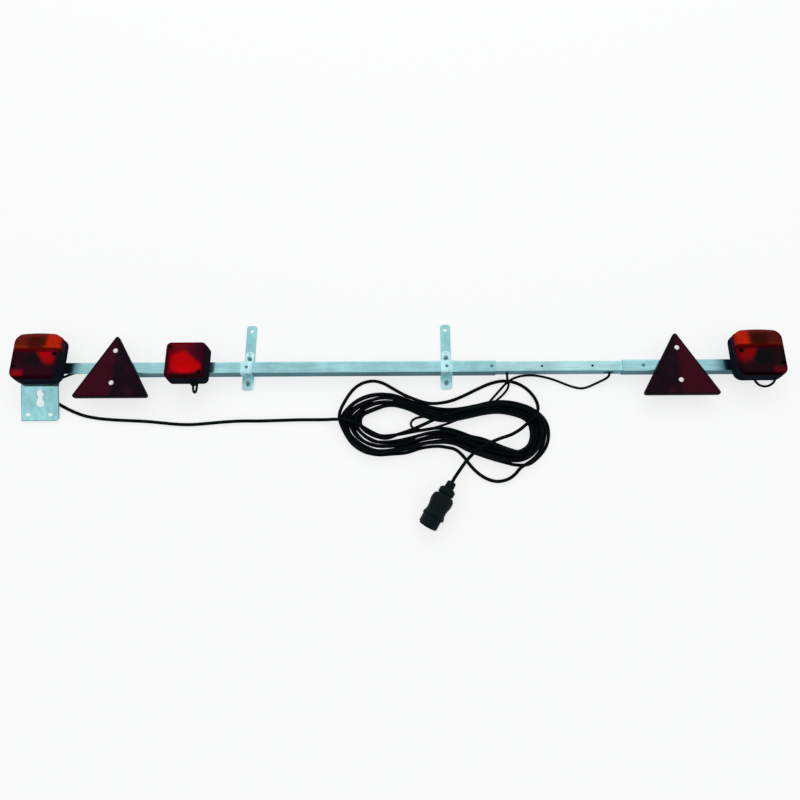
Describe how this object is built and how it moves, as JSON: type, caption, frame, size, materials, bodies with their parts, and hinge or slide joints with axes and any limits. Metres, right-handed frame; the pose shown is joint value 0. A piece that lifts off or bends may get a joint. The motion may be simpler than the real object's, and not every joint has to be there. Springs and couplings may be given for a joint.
{
  "type": "trailer lighting board",
  "caption": "Telescopic bar carrying two rear lamps, a fog lamp and reflector triangles, with hanging straps, a keyhole plate and a coiled cable with a plug.",
  "frame": {"origin": "on the ground below the middle of the bar: half of the board's overall length, on the bar's centre line, with the board lying on its straps", "axes": "+X runs along the bar to the telescopic end, +Y points to the upper edge of the board as it hangs, +Z is the way the lamps shine"},
  "size_m": [1.558, 0.4376, 0.068],
  "materials": {
    "galvanised": "dull spangled zinc",
    "bright_zinc": "bright zinc, drawn lengthwise",
    "lamp_black": "moulded black",
    "amber_lens": "clear amber, ribbed inside",
    "red_lens": "clear red, ribbed inside",
    "reflector_white": "silvered",
    "bulb_glass": "clear",
    "fasteners": "dull zinc",
    "bright_screws": "bright zinc",
    "rubber_black": "soft black",
    "cable_black": "black jacket, slightly glossy",
    "triangle_black": "moulded black",
    "triangle_red": "dark red prismatic",
    "plug_black": "moulded black",
    "contact_brass": "turned brass"
  },
  "bodies": {
    "main": {"main_tube": "galvanised", "left_strap": "galvanised", "right_strap": "galvanised", "left_saddle": "galvanised", "right_saddle": "galvanised", "keyhole_plate": "galvanised", "left_triangle_strip": "galvanised", "left_lamp_base": "lamp_black", "fog_base": "lamp_black", "left_amber_lens": "amber_lens", "left_red_lens": "red_lens", "fog_lens": "red_lens", "left_lamp_reflector": "reflector_white", "fog_reflector": "reflector_white", "left_indicator_bulb": "bulb_glass", "left_tail_bulb": "bulb_glass", "fog_bulb": "bulb_glass", "main_lock_screw": "fasteners", "left_lens_screws": "fasteners", "left_lamp_bolts": "fasteners", "fog_lens_screws": "fasteners", "fog_fixing_screws": "fasteners", "left_bracket_bolts": "fasteners", "right_bracket_bolts": "fasteners", "left_triangle_screws": "bright_screws", "left_lamp_grommets": "rubber_black", "fog_gland": "rubber_black", "fog_cable": "cable_black", "trunk_cable": "cable_black", "cable_hank": "cable_black", "plug_lead": "cable_black", "link_cable_left": "cable_black", "link_cable_right": "cable_black", "bar_cable": "cable_black", "left_triangle_backing": "triangle_black", "left_triangle_prism": "triangle_red", "plug_shell": "plug_black", "plug_nut": "plug_black", "plug_insert": "plug_black", "plug_pins": "contact_brass"},
    "inner": {"inner_tube": "bright_zinc"},
    "right": {"right_tube": "galvanised", "right_lock_screw": "fasteners", "right_lamp_base": "lamp_black", "right_lamp_reflector": "reflector_white", "right_indicator_bulb": "bulb_glass", "right_tail_bulb": "bulb_glass", "right_amber_lens": "amber_lens", "right_red_lens": "red_lens", "right_lens_screws": "fasteners", "right_lamp_bolts": "fasteners", "right_lamp_grommets": "rubber_black", "right_triangle_backing": "triangle_black", "right_triangle_prism": "triangle_red", "right_triangle_screws": "bright_screws", "right_triangle_strip": "galvanised", "right_lamp_cable": "cable_black"}
  },
  "joints": [
    {"name": "inner_slide", "type": "slide", "parent": "main", "child": "inner", "axis": [1, 0, 0], "range_m": [-0.012, 0.1]},
    {"name": "right_slide", "type": "slide", "parent": "inner", "child": "right", "axis": [1, 0, 0], "range_m": [-0.01, 0.1]}
  ]
}
